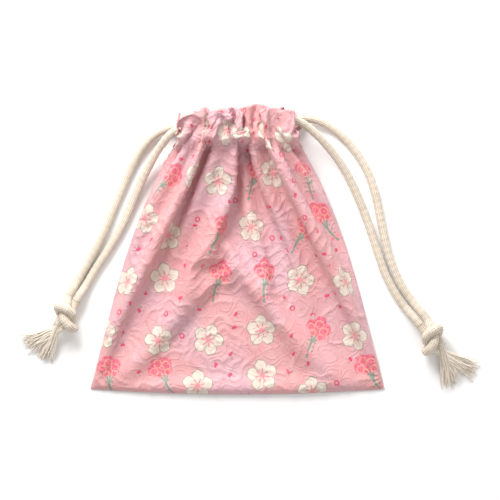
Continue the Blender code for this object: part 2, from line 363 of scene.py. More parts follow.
def clothMaterial(name):
    made, w, shader = blankMaterial(name)
    uv = w.node("ShaderNodeUVMap", {"uv_map": "clothMap"}).scaled(cloth["uvSpan"])
    wobble = uv.noise(0.35, 2.0, out=1).vector("SUBTRACT", (0.5, 0.5, 0.5))
    soft = uv.vector("ADD", wobble.scaled(cloth["wobble"]))
    sure = cloth["sureStep"]

    # big motifs: open blossoms, and bunches of round blooms
    local, chance = nearestMotif(soft, cloth["bigCell"], cloth["bigRandom"])
    isBunch = chance[0].step(cloth["bunchShare"], cloth["bunchShare"] + sure)
    isBlossom = 1 - isBunch
    x, y = turned(local, (chance[1] - 0.5) * cloth["bunchTurn"])
    petals, petalShade, outline, creases, stamens, heart = blossomMasks(x, y, chance[2])
    blooms, bloomRings, stems, leaflets, bow = bunchMasks(x, y)

    # small buds and rings between them
    small, luck = nearestMotif(soft, cloth["smallCell"], cloth["smallRandom"])
    smallX, smallY = turned(small, luck[1] * cloth["anyTurn"])
    clear = local.length().step(*smallPrint["clearOf"])
    isRing = luck[0].step(cloth["ringsFrom"], cloth["ringsFrom"] + sure)
    isBud = luck[0].step(cloth["budsFrom"], cloth["budsFrom"] + sure) * (1 - isRing)
    rings = (1 - abs(smallX.joined(smallY).length() - smallPrint["ring"]).step(0.22, 0.55)) * isRing
    buds = discs(smallX, smallY, smallPrint["bud"]) * isBud
    budLeaves = discs(smallX, smallY, smallPrint["leaf"]) * isBud

    # ground, mottled from salmon to lilac, and the motifs laid on it
    wash = uv.noise(0.9, 3.0, 0.7)
    petal = w.tint(petalShade, cloth["creamShade"], cloth["cream"])
    petal = w.tint(wash.step(0.35, 0.7) * 0.35, petal, cloth["creamShade"])
    bloom = w.tint(wash.step(0.38, 0.66), cloth["rose"], cloth["roseLight"])
    bloom = w.tint(bloomRings * 0.75, bloom, cloth["blush"])
    colour = w.tint(uv.noise(0.021, 2.0, 0.6).step(0.40, 0.62), cloth["salmon"], cloth["lilac"])
    colour = w.tint(uv.noise(0.16, 4.0, 0.65).step(0.42, 0.80) * 0.55, colour, cloth["pale"])
    for mask, strength, paint in (
        (petals * isBlossom, 0.94, petal), (creases * isBlossom, 0.72, cloth["outline"]),
        (outline * isBlossom, 0.85, cloth["outline"]), (stamens * isBlossom, 0.75, cloth["rose"]),
        (heart * isBlossom, 0.85, cloth["roseLight"]), (stems * isBunch, 0.85, cloth["stem"]),
        (leaflets * isBunch, 0.75, cloth["leaf"]), (bow * isBunch, 0.7, cloth["roseLight"]),
        (blooms * isBunch, 0.86, bloom), (rings.orMore(buds) * clear, 0.92, cloth["rose"]),
        (budLeaves * clear, 0.7, cloth["leaf"]),
    ):
        colour = w.tint(mask * strength, colour, paint)

    crinkle, relief = clothRelief(uv)
    sockets = {"Strength": cloth["bumpStrength"], "Distance": cloth["bump"], "Height": relief}
    w.feed(shader, {
        "Base Color": colour, "Roughness": cloth["roughness"] - cloth["creaseGloss"] * crinkle,
        "Normal": w.node("ShaderNodeBump", None, sockets), "Sheen Weight": cloth["sheen"],
        "Sheen Roughness": cloth["sheenRoughness"], "Specular IOR Level": cloth["specular"],
    })
    return made


# ---- the pouch's cloth, draped by simulation
pouch = {
    "height": 161 * mm, "columns": 64, "rows": 64, "slit": 21 * mm, "cordLine": 12 * mm, "puff": 10 * mm,
    "clothShares": (17, 20, 24, 15, 21, 17, 24, 22), "mouthShares": (7, 6, 8, 5, 7, 6, 8, 9),
    "mouthHalf": 27.0 * mm, "mouthY": 141.5 * mm, "mouthWander": 1.2 * mm,
    "frontZ": 19.2 * mm, "backZ": 2.6 * mm,
    "seamPull": ((0.0675, 0.048), (0.0580, 0.096), (0.0325, 0.134)), "seamLow": 0.8 * mm, "seamLift": 9 * mm,
    "fineStep": 0.80 * mm, "thickness": 0.55 * mm, "casingDepth": 24 * mm, "lowest": 0.15 * mm,
    "thinnest": 0.12, "thinBand": 2.5, "thinStop": 2.0,
}
drapeFacts = {
    "scale": 10.0, "gatherFrames": 45, "frames": 70, "quality": 6, "mass": 0.25, "tension": 24.0,
    "bending": 6.0, "pressure": 1.0, "damping": 8.0, "airDrag": 1.5, "selfGap": 0.8 * mm, "gap": 0.4 * mm,
    "collisionQuality": 3, "selfFriction": 2, "friction": 5, "tableFriction": 3, "tableSize": 6,
}
casing = {
    "from": 128 * mm, "full": 135.5 * mm, "cover": 19.6 * mm, "under": 2.0 * mm, "foldShare": 0.8,
    "crease": 0.7 * mm, "deepest": 7 * mm, "slitBlend": 4 * mm, "seamBlend": 8 * mm,
    "endFlare": 2.5 * mm, "endDroop": 1.5 * mm,
    "depth": (np.array([0, 0.8, 2.4, 4, 14, 20, 24]) * mm, np.array([0.6, 2.2, 4.6, 5.6, 5.6, 2.4, 0.9]) * mm),
    "frontInner": 14.0 * mm, "backInner": 8.0 * mm, "heldFrom": 1.2 * mm, "heldOver": 3 * mm, "apart": 1 * mm,
}


def seamCurve(t):
    lower, upper, neck = (Vector(p) for p in pouch["seamPull"])
    s = 1 - t
    return s**3 * Vector((halfWidth, 0)) + 3 * s * s * t * lower + 3 * s * t * t * upper + t**3 * neck


def seamPoint(share):  # a point on the side seam, by its share of the seam's own length
    fine = [seamCurve(k / 300) for k in range(301)]
    run = np.concatenate([[0], np.cumsum([(b - a).length for a, b in zip(fine, fine[1:])])])
    places = np.array(fine)
    return np.interp(share * run[-1], run, places[:, 0]), np.interp(share * run[-1], run, places[:, 1])


def flatPouch():
    columns, rows = pouch["columns"], pouch["rows"]
    slitRow = round((1 - pouch["slit"] / pouch["height"]) * rows)
    front = np.zeros((rows + 1, columns + 1), int)
    back = np.zeros_like(front)
    points = []
    for side in (front, back):
        for row in range(rows + 1):
            for column in range(columns + 1):
                sewn = row == 0 or (column in (0, columns) and row <= slitRow)
                if side is back and sewn:
                    back[row, column] = front[row, column]
                    continue
                u = 2 * column / columns - 1
                t = row / rows
                swell = pouch["puff"] * (1 - u * u) ** 0.7 * math.sin(math.pi * min(1, t * 0.9 + 0.02)) ** 0.7
                z = pouch["seamLow"] + (swell if side is front and not sewn else 0)
                y = t * pouch["height"] - bottomBow * (1 - u * u) * (1 - t) ** 2 + bottomY
                side[row, column] = len(points)
                points.append((u * halfWidth, y, z))
    return np.array(points), front, back, slitRow


def gatheredPins(points, front, back, slitRow):
    columns, rows = pouch["columns"], pouch["rows"]
    pins = {}
    cordRow = round((1 - pouch["cordLine"] / pouch["height"]) * rows)
    fromCloth = np.concatenate([[0], np.cumsum(pouch["clothShares"])]) / sum(pouch["clothShares"])
    toMouth = np.concatenate([[0], np.cumsum(pouch["mouthShares"])]) / sum(pouch["mouthShares"])
    for turn, (side, z) in enumerate(((front, pouch["frontZ"]), (back, pouch["backZ"]))):
        for k, (share, at) in enumerate(zip(fromCloth, toMouth)):
            share, at = (1 - share, 1 - at) if turn else (share, at)
            wander = pouch["mouthWander"] * math.sin(2.3 * k + turn)
            x = pouch["mouthHalf"] * (2 * at - 1)
            pins[side[cordRow, round(share * columns)]] = (x, bottomY + pouch["mouthY"] + wander, z)
    for row in range(slitRow + 1):
        x, y = seamPoint(row / slitRow)
        z = pouch["seamLow"] + pouch["seamLift"] * (row / slitRow) ** 2.5
        pins[front[row, 0]] = (-x, y + bottomY, z)
        pins[front[row, columns]] = (x, y + bottomY, z)
    for index in front[0]:
        pins[index] = tuple(points[index])
    return pins


def drapedPouch():
    scale = drapeFacts["scale"]
    points, front, back, slitRow = flatPouch()
    pins = gatheredPins(points, front, back, slitRow)
    faces = []
    for side in (front, back):
        quads = np.stack([side[:-1, :-1], side[:-1, 1:], side[1:, 1:], side[1:, :-1]], -1).reshape(-1, 4)
        faces += (quads if side is front else quads[:, ::-1]).tolist()
    mesh = bpy.data.meshes.new("drape")
    mesh.from_pydata((points * scale).tolist(), [], faces)
    drape = link(bpy.data.objects.new("drape", mesh))
    held = drape.vertex_groups.new(name="held")
    drape.shape_key_add(name="flat")
    gathered = drape.shape_key_add(name="gathered")
    for index, place in pins.items():
        held.add([int(index)], 1.0, "REPLACE")
        gathered.data[index].co = Vector(place) * scale
    for frameNumber, value in ((1, 0.0), (drapeFacts["gatherFrames"], 1.0)):
        gathered.value = value
        gathered.keyframe_insert("value", frame=frameNumber)
    modifier = drape.modifiers.new("cloth", "CLOTH")
    settings = modifier.settings
    settings.quality = drapeFacts["quality"]
    settings.mass = drapeFacts["mass"]
    settings.tension_stiffness = settings.compression_stiffness = drapeFacts["tension"]
    settings.shear_stiffness = drapeFacts["tension"] / 2
    settings.bending_stiffness = drapeFacts["bending"]
    settings.tension_damping = settings.compression_damping = drapeFacts["damping"]
    settings.shear_damping = drapeFacts["damping"]
    settings.air_damping = drapeFacts["airDrag"]
    settings.vertex_group_mass = "held"
    settings.rest_shape_key = mesh.shape_keys.key_blocks["flat"]
    settings.use_pressure = True
    settings.uniform_pressure_force = drapeFacts["pressure"]
    touching = modifier.collision_settings
    touching.use_self_collision = True
    touching.self_distance_min = drapeFacts["selfGap"] * scale
    touching.distance_min = drapeFacts["gap"] * scale
    touching.collision_quality = drapeFacts["collisionQuality"]
    touching.self_friction = drapeFacts["selfFriction"]
    touching.friction = drapeFacts["friction"]
    modifier.point_cache.frame_end = drapeFacts["frames"]
    bpy.ops.mesh.primitive_plane_add(size=drapeFacts["tableSize"])
    table = bpy.context.active_object
    table.modifiers.new("collision", "COLLISION")
    table.collision.thickness_outer = drapeFacts["gap"] * scale
    table.collision.cloth_friction = drapeFacts["tableFriction"]
    for frameNumber in range(1, drapeFacts["frames"] + 1):
        bpy.context.scene.frame_set(frameNumber)
    evaluated = drape.evaluated_get(bpy.context.evaluated_depsgraph_get())
    settled = evaluated.to_mesh()
    places = np.empty(len(settled.vertices) * 3)
    settled.vertices.foreach_get("co", places)
    evaluated.to_mesh_clear()
    bpy.data.objects.remove(drape)
    bpy.data.objects.remove(table)
    bpy.context.scene.frame_set(1)
    places = places.reshape(-1, 3) / scale
    print("cloth draped")
    return places[front], places[back]


def splineWeights(count, wanted):  # smooth resampling of evenly spaced rows, exact at both ends
    weights = np.zeros((len(wanted), count + 2))
    first = np.clip(np.floor(wanted).astype(int), 0, count - 2)
    t = wanted - first
    basis = ((1 - t) ** 3, 3 * t**3 - 6 * t**2 + 4, -3 * t**3 + 3 * t**2 + 3 * t + 1, t**3)
    for k, share in enumerate(basis):
        weights[np.arange(len(wanted)), first + k] = share / 6
    weights[:, 1] += 2 * weights[:, 0]
    weights[:, 2] -= weights[:, 0]
    weights[:, -2] += 2 * weights[:, -1]
    weights[:, -3] -= weights[:, -1]
    return weights[:, 1:-1]


emboss = {
    "cell": 31.0, "jitter": 0.26, "depth": 0.55, "lineHalf": 0.8, "window": (15.0, 19.0),
    "edgeFade": (0.4, 3.0), "frontSeed": 11, "backSeed": 23, "spokes": 15, "dimple": 3.1,
    "scallops": (4.6, 9.2, 14.0), "wave": 5.4,
}


def ridge(r, rim):  # a raised line where the two are equal
    return np.exp(-((r - rim) / emboss["lineHalf"]) ** 2)


def spokedFlower(r, theta):
    spokes = np.maximum(0, np.cos(emboss["spokes"] * theta)) ** 3
    petals = smooth(2.2, 5.0, r) * (1 - smooth(11.5, 15.5, r + 1.5 * np.sin(3 * theta)))
    return np.maximum(spokes * petals, ridge(r, 1.6))


def nestedScallops(r, theta):
    figure = 0
    for size in emboss["scallops"]:
        figure = np.maximum(figure, ridge(r, size * (1 + 0.11 * np.cos(7 * theta + size))))
    return figure


def dimplesInRing(dx, dy, r, theta):
    lattice = np.cos(2 * math.pi * dx / emboss["dimple"]) * np.cos(2 * math.pi * dy / emboss["dimple"])
    dimples = 0.55 * np.maximum(0, lattice) * (1 - smooth(8.0, 10.5, r))
    return np.maximum(dimples, ridge(r, 12.6 * (1 + 0.09 * np.cos(5 * theta))))


def wavingLines(dx, dy, turn):
    along = dx * math.sin(turn) - dy * math.cos(turn)
    wave = dx * math.cos(turn) + dy * math.sin(turn) + 1.8 * np.sin(along / 3.4)
    return np.maximum(0, np.cos(2 * math.pi * wave / emboss["wave"])) ** 4


def embossHeight(x, y, seed):  # raised quilted figures, in millimetres, over the cloth's own millimetres
    chance = np.random.default_rng(seed)
    height = np.zeros_like(x)
    cell = emboss["cell"]
    across = math.ceil(x.max() / cell) + 1
    up = math.ceil(y.max() / cell) + 1
    for i in range(-1, across + 1):
        for j in range(-1, up + 1):
            cx, cy = (np.array([i + 0.5 * (j % 2), j]) + chance.uniform(-1, 1, 2) * emboss["jitter"]) * cell
            kind, turn, grow = chance.integers(0, 4), chance.uniform(0, 6.28), chance.uniform(0.85, 1.15)
            dx, dy = x - cx, y - cy
            r = np.hypot(dx, dy) / grow
            theta = np.arctan2(dy, dx) + turn
            if kind == 0:
                figure = spokedFlower(r, theta)
            elif kind == 1:
                figure = nestedScallops(r, theta)
            elif kind == 2:
                figure = dimplesInRing(dx, dy, r, theta)
            else:
                figure = wavingLines(dx, dy, turn)
            height = np.maximum(height, figure * (1 - smooth(*emboss["window"], r)))
    return height * emboss["depth"]


def endShare(surface):  # 1 at the casing's open ends, where the cloth flares over the cords' turns
    return smooth(0.66 * pouch["mouthHalf"], pouch["mouthHalf"], abs(surface[..., 0]))


def overCords(surface, front):  # in the casing the cloth's folds stand outside the cords, not through them
    z = surface[..., 2]
    y = surface[..., 1] - bottomY
    edge = np.linspace(-halfWidth, halfWidth, surface.shape[1])
    up = np.linspace(0, pouch["height"], surface.shape[0])[:, None]
    open_ = smooth(pouch["height"] - pouch["slit"], pouch["height"] - pouch["slit"] + casing["slitBlend"], up)
    sewn = smooth(0, casing["seamBlend"], halfWidth - abs(edge))
    share = smooth(casing["from"], casing["full"], y) * np.maximum(open_, sewn)
    if front:
        apart = np.maximum(z - casing["cover"], -casing["deepest"])
        lifted = casing["cover"] + np.sqrt((apart * casing["foldShare"]) ** 2 + casing["crease"] ** 2)
        lifted = lifted - casing["endDroop"] * endShare(surface)
    else:
        lifted = np.minimum(z, casing["under"])
    surface[..., 0] += share * endShare(surface) * np.sign(surface[..., 0]) * casing["endFlare"]
    surface[..., 2] = z + share * (lifted - z)
    return surface


def panelSurface(grid, front):  # the draped rows made fine, and the casing's fold turned in and down
    inward = -1 if front else 1
    across = np.linspace(0, pouch["columns"], round(2 * halfWidth / pouch["fineStep"]) + 1)
    up = np.linspace(0, pouch["rows"], round(pouch["height"] / pouch["fineStep"]) + 1)
    weights = splineWeights(pouch["rows"] + 1, up), splineWeights(pouch["columns"] + 1, across)
    surface = overCords(np.einsum("ab,bcd,ec->aed", weights[0], grid, weights[1]), front)
    downs = np.arange(1, round(pouch["casingDepth"] / pouch["fineStep"]) + 1)
    hem = surface[-1 - downs]
    depth = np.interp(downs * pouch["fineStep"], *casing["depth"])[:, None]
    hem[..., 2] += inward * depth
    shares = smooth(0.0, casing["heldOver"], depth - casing["heldFrom"])
    hem[..., 0] -= shares * np.sign(hem[..., 0]) * endShare(hem) * casing["endFlare"]
    limit = casing["frontInner"] if front else casing["backInner"]
    held = np.minimum(hem[..., 2], limit) if front else np.maximum(hem[..., 2], limit)
    hem[..., 2] += shares * (held - hem[..., 2])
    between = (pouch["frontZ"] + pouch["backZ"]) / 2 - inward * casing["apart"]
    hem[..., 2] = np.maximum(hem[..., 2], between) if front else np.minimum(hem[..., 2], between)
    surface = np.concatenate([surface, hem])
    clothX = np.broadcast_to(across * 2 * halfWidth / pouch["columns"] / mm, surface.shape[:2])
    clothY = (np.arange(len(surface)) * pouch["height"] / (len(up) - 1) / mm)[:, None]
    return surface, clothX, np.broadcast_to(clothY, surface.shape[:2])


def panelMesh(name, grid, front, finish):
    surface, clothX, clothY = panelSurface(grid, front)
    normal = np.cross(np.gradient(surface, axis=1), np.gradient(surface, axis=0)) * (1 if front else -1)
    normal /= np.maximum(np.linalg.norm(normal, axis=2, keepdims=True), 1e-12)
    edgeX = np.minimum(clothX, clothX.max() - clothX)
    fade = smooth(*emboss["edgeFade"], np.minimum(edgeX, clothY))
    seed = emboss["frontSeed"] if front else emboss["backSeed"]
    raised = embossHeight(clothX, clothY, seed) * fade * mm
    surface = surface + normal * raised[..., None]
    surface[..., 2] = np.maximum(surface[..., 2], pouch["lowest"])
    index = np.arange(surface.shape[0] * surface.shape[1]).reshape(surface.shape[:2])
    quads = np.stack([index[:-1, :-1], index[:-1, 1:], index[1:, 1:], index[1:, :-1]], -1).reshape(-1, 4)
    quads = quads if front else quads[:, ::-1]
    mesh = bpy.data.meshes.new(name)
    mesh.from_pydata(surface.reshape(-1, 3).tolist(), [], quads.tolist())
    shift = 0 if front else cloth["backShift"]
    coords = np.stack([(clothX + shift) / cloth["uvSpan"], clothY / cloth["uvSpan"]], -1).reshape(-1, 2)
    layer = mesh.uv_layers.new(name="clothMap")
    layer.data.foreach_set("uv", coords[quads.reshape(-1)].astype(np.float32).reshape(-1))
    mesh.materials.append(finish)
    mesh.shade_smooth()
    panel = link(bpy.data.objects.new(name, mesh))
    thin = panel.vertex_groups.new(name="cloth")
    sewnTo = (pouch["height"] - pouch["slit"]) / mm - pouch["thinStop"]  # above it the edges stay thick
    inside = np.minimum(np.where(clothY > sewnTo, clothY, edgeX), clothY)
    share = pouch["thinnest"] + (1 - pouch["thinnest"]) * smooth(0.0, pouch["thinBand"], inside)
    share = np.round(share.reshape(-1), 2)
    for value in np.unique(share):
        thin.add(np.flatnonzero(share == value).tolist(), float(value), "REPLACE")
    solid = panel.modifiers.new("thickness", "SOLIDIFY")
    solid.thickness = pouch["thickness"]
    solid.offset = -1
    solid.vertex_group = "cloth"
    return panel, surface


stitch = {
    "gap": 2.5 * mm, "size": (1.7 * mm, 0.5 * mm, 0.5 * mm), "colour": (0.76, 0.48, 0.49), "roughness": 0.6,
    "insideFold": 1 * mm, "fromSeam": 3,
}


def stitchTree(finish):
    w, given = shapeTree("casingStitches", {"Geometry": "Geometry", "Gap": "Float", "Size": "Vector"})
    line = w.node("GeometryNodeMeshToCurve", None, {"Mesh": given["Geometry"]})
    line = w.node("GeometryNodeResampleCurve", {"mode": "LENGTH"}, {"Curve": line, "Length": given["Gap"]})
    bead = w.node("GeometryNodeMeshIcoSphere", None, {"Radius": 0.5, "Subdivisions": 2})
    along = w.node("GeometryNodeInputTangent")
    turn = w.node("FunctionNodeAlignRotationToVector", {"axis": "X"}, {"Vector": along})
    sockets = {"Points": line, "Instance": bead, "Rotation": turn, "Scale": given["Size"]}
    return sendOut(w, w.node("GeometryNodeInstanceOnPoints", None, sockets), finish)


def makeStitches(panels):
    thread, w, shader = blankMaterial("sewingThread")
    w.feed(shader, {"Base Color": (*stitch["colour"], 1.0), "Roughness": stitch["roughness"]})
    tree = stitchTree(thread)
    row = round((pouch["height"] - pouch["casingDepth"] + stitch["insideFold"]) / pouch["fineStep"])
    for side, (_, surface) in zip(("front", "back"), panels):
        points = surface[row, stitch["fromSeam"] : -stitch["fromSeam"]].tolist()
        edges = [(k, k + 1) for k in range(len(points) - 1)]
        wanted = {"Gap": stitch["gap"], "Size": stitch["size"]}
        seam = grown(f"{side}_casing_stitches", points, edges, tree, wanted)
        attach(seam, "root")
    print("casing stitched")


def makePouch():
    finish = clothMaterial("printedCloth")
    frontGrid, backGrid = drapedPouch()
    made = []
    for name, grid, front in (("front_cloth", frontGrid, True), ("back_cloth", backGrid, False)):
        panel, surface = panelMesh(name, grid, front, finish)
        panel = applied(panel)
        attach(panel, "root")
        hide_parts("front_panel" if front else "back_panel")
        made.append((panel, surface))
        print(name, len(panel.data.polygons), "faces")
    return made


# ---- cords
cordSize = {
    "diameter": 4.5 * mm, "ringStep": 0.62 * mm, "sides": 28, "carriers": 6, "lay": 9.0 * mm,
    "relief": 0.2 * mm, "lowest": 0.08 * mm, "casingHalf": 20.5, "casingFrom": 130,
    "turnFrom": 25 * mm, "turnShare": 0.5,
}
backZ, frontZ, floorZ, entryZ = 5.05, 16.95, 2.3, 5.8
leftRoute = [
    (-92.0, 49.6, entryZ), (-90.1, 53.3, 5.5), (-87.4, 58.6, 3.0), (-82.4, 67.2, floorZ),
    (-76.2, 78.6, floorZ), (-71.6, 88.4, floorZ), (-67.4, 98.8, floorZ), (-60.6, 115.0, floorZ),
    (-54.4, 128.0, 2.6), (-46.8, 137.2, 3.2), (-37.6, 141.8, 4.3), (-28.5, 141.9, backZ),
    (-20.0, 141.5, backZ), (0.0, 140.2, backZ),
    (18.0, 139.0, backZ), (26.6, 138.5, backZ), (31.4, 138.5, 6.9), (33.4, 138.5, 11.0),
    (31.4, 138.5, 15.1), (26.6, 138.5, frontZ), (18.0, 139.0, frontZ), (0.0, 140.2, frontZ),
    (-20.0, 141.5, frontZ), (-28.0, 141.4, 16.6), (-35.4, 138.2, 14.4), (-41.6, 131.6, 10.4),
    (-48.4, 120.6, 6.0), (-55.0, 107.0, 3.2), (-62.6, 89.4, floorZ), (-70.6, 75.4, floorZ),
    (-77.6, 64.6, floorZ), (-82.8, 55.6, 3.0), (-85.6, 51.1, 5.5), (-87.5, 47.3, entryZ),
]
rightRoute = [
    (103.1, 37.3, entryZ), (100.5, 40.8, 5.5), (95.4, 47.2, 3.0), (89.6, 55.6, floorZ),
    (84.9, 65.4, floorZ), (81.6, 75.6, floorZ), (78.8, 88.0, floorZ), (76.6, 99.4, floorZ),
    (74.2, 109.4, floorZ),
    (70.4, 119.4, floorZ), (65.2, 128.4, 2.4), (58.6, 136.4, 2.7), (51.4, 142.4, 3.2),
    (43.8, 146.2, 3.9), (35.6, 147.4, 4.8), (27.5, 146.0, backZ), (18.0, 145.8, backZ),
    (0.0, 146.4, backZ), (-18.0, 147.0, backZ), (-26.6, 147.2, backZ), (-31.4, 147.2, 6.9),
    (-33.4, 147.2, 11.0), (-31.4, 147.2, 15.1), (-26.6, 147.2, frontZ), (-18.0, 147.0, frontZ),
    (0.0, 146.4, frontZ), (18.0, 145.8, frontZ), (27.0, 145.6, 16.8), (35.4, 143.2, 15.4),
    (43.4, 137.0, 12.4), (51.0, 129.0, 8.8), (57.8, 119.8, 5.6), (63.6, 108.8, 3.3),
    (68.2, 98.0, floorZ), (72.4, 86.4, floorZ), (76.4, 74.0, floorZ), (80.4, 62.6, floorZ),
    (85.6, 52.4, floorZ), (91.4, 44.0, 3.0), (96.6, 37.8, 5.5), (99.1, 34.4, entryZ),
]
knotPlaces = {
    "left": {"middle": (-93.3, 41.6), "runsTo": (-97.9, 33.4), "ends": ((-113.6, 24.6), (-104.6, 17.6))},
    "right": {"middle": (105.6, 29.6), "runsTo": (111.1, 22.0), "ends": ((127.0, 10.6), (115.6, 4.0))},
}


def place(point):
    return np.array([point[0] * mm, point[1] * mm + bottomY, point[2] * mm])


def curveThrough(points, step):  # even steps on a centripetal curve through the points
    points = [np.array(p, float) for p in points]
    ends = [2 * points[0] - points[1], *points, 2 * points[-1] - points[-2]]
    fine = [points[0]]
    for a, b, c, d in zip(ends, ends[1:], ends[2:], ends[3:]):
        t1 = np.linalg.norm(b - a) ** 0.5
        t2 = t1 + np.linalg.norm(c - b) ** 0.5
        t3 = t2 + np.linalg.norm(d - c) ** 0.5
        for k in range(1, 25):
            t = t1 + (t2 - t1) * k / 24
            ab = a + (b - a) * t / t1
            bc = b + (c - b) * (t - t1) / (t2 - t1)
            cd = c + (d - c) * (t - t2) / (t3 - t2)
            abc = ab + (bc - ab) * t / t2
            bcd = bc + (cd - bc) * (t - t1) / (t3 - t1)
            fine.append(abc + (bcd - abc) * (t - t1) / (t2 - t1))
    return evenly(np.array(fine), step)


def distanceAlong(line):
    return np.concatenate([[0], np.cumsum(np.linalg.norm(np.diff(line, axis=0), axis=1))])


def evenly(line, step):
    run = distanceAlong(line)
    places = np.linspace(0, run[-1], max(4, round(run[-1] / step)) + 1)
    return np.stack([np.interp(places, run, line[:, k]) for k in range(3)], 1)


def framesAlong(line):
    along = np.gradient(line, axis=0)
    along /= np.linalg.norm(along, axis=1)[:, None]
    up = np.array([0.0, 0.0, 1.0])
    side = np.cross(along[0], up if abs(along[0] @ up) < 0.9 else np.array([0.0, 1.0, 0.0]))
    sides = []
    for direction in along:
        side = side - direction * (side @ direction)
        side /= np.linalg.norm(side)
        sides.append(side)
    sides = np.array(sides)
    return sides, np.cross(along, sides)


def braidedTube(name, line, finish, radius=None):
    sides, ups = framesAlong(line)
    run = distanceAlong(line)
    count = cordSize["sides"]
    theta = np.linspace(0, 2 * math.pi, count, endpoint=False)
    radius = np.full(len(line), cordSize["diameter"] / 2) if radius is None else radius
    turn = 2 * math.pi * run[:, None] / cordSize["lay"]
    carriers = cordSize["carriers"]
    weave = np.cos(carriers * (theta + turn)) * np.cos(carriers * (theta - turn))
    reach = radius[:, None] + cordSize["relief"] * (weave - 0.6)
    ring = np.cos(theta)[None, :, None] * sides[:, None] + np.sin(theta)[None, :, None] * ups[:, None]
    places = line[:, None] + ring * reach[..., None]
    places[..., 2] = np.maximum(places[..., 2], cordSize["lowest"])
    rings = len(line)
    index = np.arange(rings * count).reshape(rings, count)
    right = np.roll(index, -1, axis=1)
    quads = np.stack([index[:-1], right[:-1], right[1:], index[1:]], -1).reshape(-1, 4)
    uvAround = np.arange(count + 1) / count
    uv = np.empty((rings - 1, count, 4, 2))
    uv[..., 0, 0] = uv[..., 3, 0] = uvAround[:-1]
    uv[..., 1, 0] = uv[..., 2, 0] = uvAround[1:]
    uv[..., 0, 1] = uv[..., 1, 1] = run[:-1, None] / cordSize["lay"]
    uv[..., 2, 1] = uv[..., 3, 1] = run[1:, None] / cordSize["lay"]
    caps = [index[0][::-1].tolist(), index[-1].tolist()]
    mesh = bpy.data.meshes.new(name)
    mesh.from_pydata(places.reshape(-1, 3).tolist(), [], quads.tolist() + caps)
    layer = mesh.uv_layers.new(name="cordMap")
    flat = np.concatenate([uv.reshape(-1), np.tile([0.5, 0.5], 2 * count)]).astype(np.float32)
    layer.data.foreach_set("uv", flat)
    mesh.materials.append(finish)
    mesh.shade_smooth()
    return link(bpy.data.objects.new(name, mesh))


# shade is the painted shade in the braid's dents, and also the darker tone of random patches and loose yarns
cotton = {
    "light": (0.82, 0.73, 0.62), "shade": (0.45, 0.35, 0.25), "speck": (0.42, 0.32, 0.23), "roughness": 0.86,
    "sheen": 0.3, "specular": 0.25, "bump": 0.35 * mm, "looseBump": 0.2 * mm, "bumpStrength": 0.6, "ends": 4.0,
}


def cottonMaterial(name):
    made, w, shader = blankMaterial(name)
    uv = w.node("ShaderNodeUVMap", {"uv_map": "cordMap"})
    around, along = uv.part(0), uv.part(1)
    left = (around + along) * (fullTurn * cordSize["carriers"])
    right = (around - along) * (fullTurn * cordSize["carriers"])
    dent = (left.cosine() * right.cosine()).step(-0.9, 0.3)
    pick = ((left * 0.5).sine() * (right * 0.5).sine()).step(-0.05, 0.05)  # which of the two lies over
    yarns = (left * cotton["ends"]).sine() * pick + (right * cotton["ends"]).sine() * (1 - pick)
    spot = w.node("ShaderNodeTexCoord", None, None, 3)
    fibres = spot.noise(1500.0, 3.0, 0.7)
    # painted shade: the braid's dents are tinted toward the shade colour, darker where shade falls between the
    # yarns
    colour = w.tint(dent, cotton["shade"], cotton["light"])
    colour = w.tint(spot.noise(90.0, 2.0).step(0.45, 0.75) * 0.22, colour, cotton["shade"])
    colour = w.tint(fibres.step(0.62, 0.80) * 0.35, colour, cotton["speck"])
    relief = dent * 0.6 + yarns * 0.16 + fibres * 0.35
    sockets = {"Strength": cotton["bumpStrength"], "Distance": cotton["bump"], "Height": relief}
    w.feed(shader, {
        "Base Color": colour, "Normal": w.node("ShaderNodeBump", None, sockets),
        "Roughness": cotton["roughness"], "Sheen Weight": cotton["sheen"],
        "Specular IOR Level": cotton["specular"],
    })
    return made


# ---- overhand knots, drawn tight strand by strand
knotFacts = {
    "strand": 4.5, "count": 70, "wrapRadius": 7.2, "wrapFrom": -110.0, "wrapStep": 26.0, "wrapPoints": 19,
    "wrapStart": -8, "wrapRise": 0.72, "steps": 900, "pullSteps": 720, "pull": 0.02,
    "apartIn": 2.4, "apartOut": 2.6, "straighten": 0.08, "neighbours": 1.35,
    "fatness": 1.16, "fattens": 5 * mm, "reach": 9.0, "height": 6.6,
}


